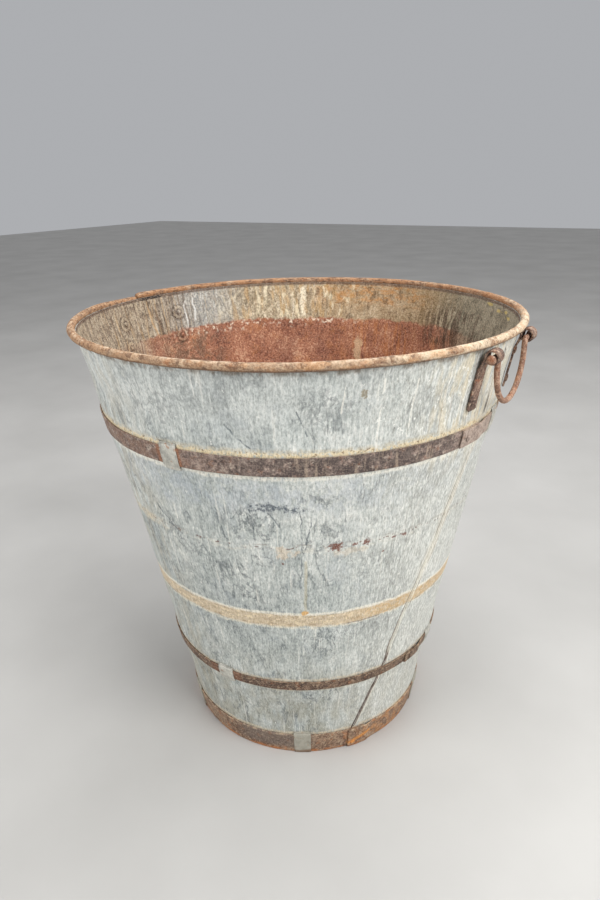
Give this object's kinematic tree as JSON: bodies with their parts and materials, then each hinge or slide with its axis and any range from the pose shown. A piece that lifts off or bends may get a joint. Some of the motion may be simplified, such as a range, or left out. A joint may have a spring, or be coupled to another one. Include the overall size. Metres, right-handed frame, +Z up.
{
  "type": "tapered galvanised tub",
  "caption": "Tall tapered round tub of galvanised sheet with flat iron hoops, a round iron rim bar and a hinged drop handle on each side.",
  "frame": {"origin": "on the tub's axis, on the floor that it stands on", "axes": "+Z up along the tub's axis, +X towards the right handle, -Y towards the front"},
  "size_m": [0.7332, 0.7264, 0.7375],
  "materials": {
    "galvanised_sheet": "weathered galvanised, mottled blue-grey",
    "keeper_zinc": "weathered galvanised",
    "rim_iron": "light brown rust",
    "hoop_iron": "dark brown rust",
    "foot_iron": "brown rust",
    "bracket_iron": "brown rust",
    "handle_iron": "brown rust"
  },
  "bodies": {
    "tub": {"wall_sheet_front": "galvanised_sheet", "wall_sheet_rear": "galvanised_sheet", "bottom_plate": "galvanised_sheet", "rim_bar": "rim_iron", "upper_hoop": "hoop_iron", "lower_hoop": "hoop_iron", "foot_hoop": "foot_iron", "upper_hoop_rivet": "hoop_iron", "lower_hoop_rivet": "hoop_iron", "foot_hoop_rivets": "foot_iron", "upper_keeper_1": "keeper_zinc", "upper_keeper_2": "keeper_zinc", "upper_keeper_3": "keeper_zinc", "upper_keeper_4": "keeper_zinc", "lower_keeper_1": "keeper_zinc", "lower_keeper_2": "keeper_zinc", "lower_keeper_3": "keeper_zinc", "lower_keeper_4": "keeper_zinc", "foot_keeper_1": "keeper_zinc", "foot_keeper_2": "keeper_zinc", "foot_keeper_3": "keeper_zinc", "foot_keeper_4": "keeper_zinc", "bracket_right_front": "bracket_iron", "bracket_right_rear": "bracket_iron", "bracket_left_front": "bracket_iron", "bracket_left_rear": "bracket_iron", "bracket_rivets_right": "bracket_iron", "bracket_rivets_left": "bracket_iron", "washers_right": "bracket_iron", "washers_left": "bracket_iron"},
    "handle_right": {"handle_right": "handle_iron"},
    "handle_left": {"handle_left": "handle_iron"}
  },
  "joints": [
    {"name": "handle_right_swing", "type": "hinge", "parent": "tub", "child": "handle_right", "pos_m": [0.356, 0, 0.71], "axis": [0, -1, 0], "range_deg": [-10, 150]},
    {"name": "handle_left_swing", "type": "hinge", "parent": "tub", "child": "handle_left", "pos_m": [-0.356, 0, 0.71], "axis": [0, 1, 0], "range_deg": [-10, 150]}
  ]
}
